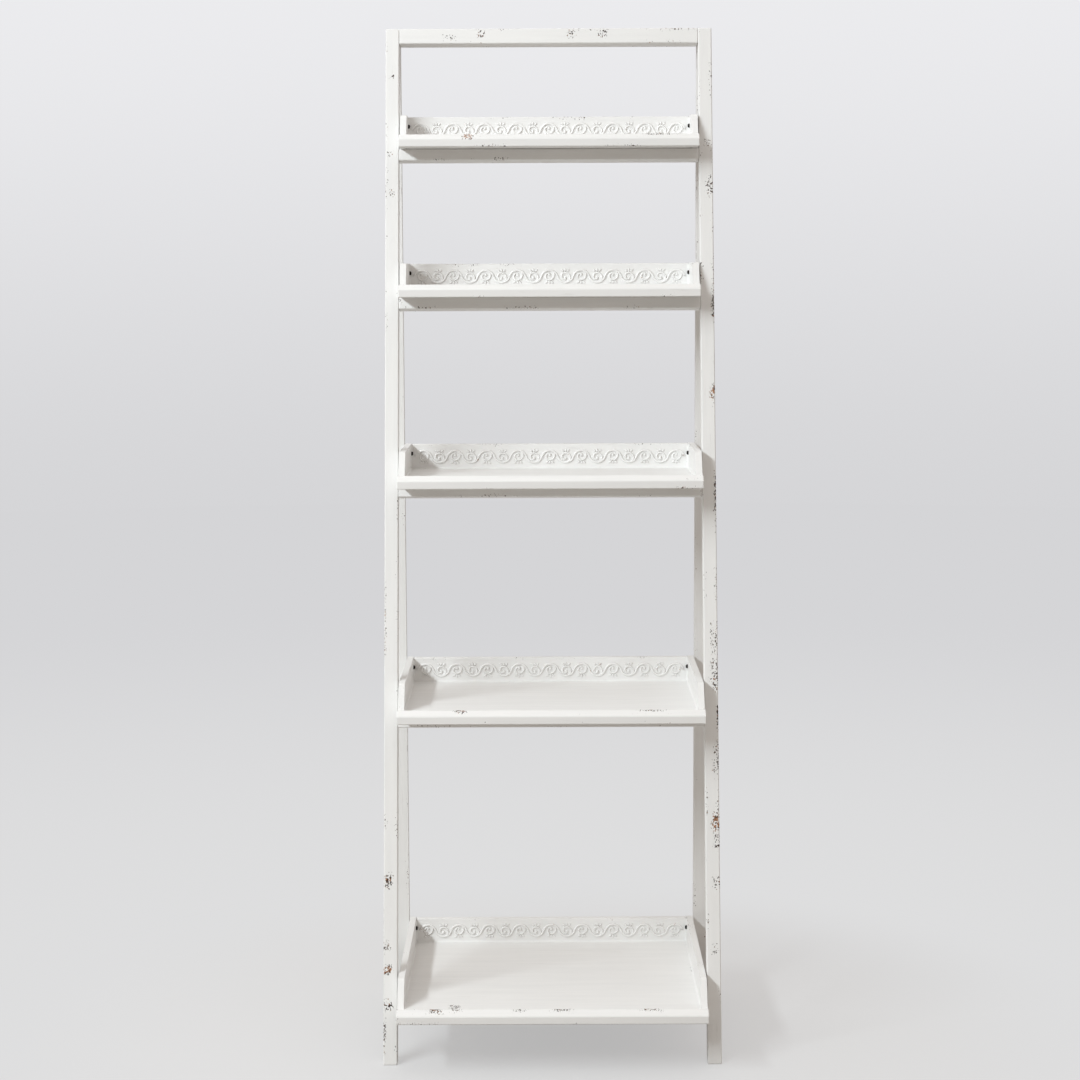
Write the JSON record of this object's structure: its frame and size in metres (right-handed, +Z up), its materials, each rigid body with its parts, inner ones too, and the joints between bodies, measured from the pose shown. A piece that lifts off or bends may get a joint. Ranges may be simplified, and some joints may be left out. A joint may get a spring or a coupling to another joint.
{
  "type": "plant stand",
  "caption": "Tall white folding ladder shelf for plants: a leaning front frame hinged to an upright rear frame, carrying lift-up trays with raised sides and backs, deeper towards the floor.",
  "frame": {"origin": "on the floor under the middle of the stand's width and depth", "axes": "+Z up, +X to the right as seen from the front, +Y from the front edge of the trays to the rear frame"},
  "size_m": [0.5406, 0.4456, 1.6398],
  "materials": {
    "paint": "warm white paint over wood, rubbed through at the edges",
    "steel": "dull zinc plate"
  },
  "bodies": {
    "rear_frame": {"rear_stile_left": "paint", "rear_stile_right": "paint", "rear_top_rail": "paint", "hinge_left_rear_leaf": "steel", "hinge_left_pin": "steel", "hinge_left_rear_screw_1": "steel", "hinge_left_rear_screw_2": "steel", "hinge_right_rear_leaf": "steel", "hinge_right_pin": "steel", "hinge_right_rear_screw_1": "steel", "hinge_right_rear_screw_2": "steel", "tray_1_bolt_left": "steel", "tray_1_bolt_right": "steel", "tray_2_bolt_left": "steel", "tray_2_bolt_right": "steel", "tray_3_bolt_left": "steel", "tray_3_bolt_right": "steel", "tray_4_bolt_left": "steel", "tray_4_bolt_right": "steel", "tray_5_bolt_left": "steel", "tray_5_bolt_right": "steel"},
    "front_frame": {"front_stile_left": "paint", "front_stile_right": "paint", "front_top_rail": "paint", "front_rail_1": "paint", "front_rail_2": "paint", "front_rail_3": "paint", "front_rail_4": "paint", "front_rail_5": "paint", "hinge_left_front_leaf": "steel", "hinge_left_front_screw_1": "steel", "hinge_left_front_screw_2": "steel", "hinge_right_front_leaf": "steel", "hinge_right_front_screw_1": "steel", "hinge_right_front_screw_2": "steel"},
    "tray_1": {"tray_1_floor": "paint", "tray_1_lip": "paint", "tray_1_cheek_left": "paint", "tray_1_cheek_right": "paint", "tray_1_back": "paint"},
    "tray_2": {"tray_2_floor": "paint", "tray_2_lip": "paint", "tray_2_cheek_left": "paint", "tray_2_cheek_right": "paint", "tray_2_back": "paint"},
    "tray_3": {"tray_3_floor": "paint", "tray_3_lip": "paint", "tray_3_cheek_left": "paint", "tray_3_cheek_right": "paint", "tray_3_back": "paint"},
    "tray_4": {"tray_4_floor": "paint", "tray_4_lip": "paint", "tray_4_cheek_left": "paint", "tray_4_cheek_right": "paint", "tray_4_back": "paint"},
    "tray_5": {"tray_5_floor": "paint", "tray_5_lip": "paint", "tray_5_cheek_left": "paint", "tray_5_cheek_right": "paint", "tray_5_back": "paint"}
  },
  "joints": [
    {"name": "fold", "type": "hinge", "parent": "rear_frame", "child": "front_frame", "pos_m": [0, 0.19752, 1.63006], "axis": [1, 0, 0], "range_deg": [0, 11.5]},
    {"name": "tray_1_lift", "type": "hinge", "parent": "rear_frame", "child": "tray_1", "pos_m": [0, 0.21182, 1.4577], "axis": [-1, 0, 0], "range_deg": [0, 90]},
    {"name": "tray_2_lift", "type": "hinge", "parent": "rear_frame", "child": "tray_2", "pos_m": [0, 0.21182, 1.2171], "axis": [-1, 0, 0], "range_deg": [0, 90]},
    {"name": "tray_3_lift", "type": "hinge", "parent": "rear_frame", "child": "tray_3", "pos_m": [0, 0.21182, 0.91648], "axis": [-1, 0, 0], "range_deg": [0, 90]},
    {"name": "tray_4_lift", "type": "hinge", "parent": "rear_frame", "child": "tray_4", "pos_m": [0, 0.21182, 0.55354], "axis": [-1, 0, 0], "range_deg": [0, 90]},
    {"name": "tray_5_lift", "type": "hinge", "parent": "rear_frame", "child": "tray_5", "pos_m": [0, 0.21182, 0.0999], "axis": [-1, 0, 0], "range_deg": [0, 90]}
  ]
}
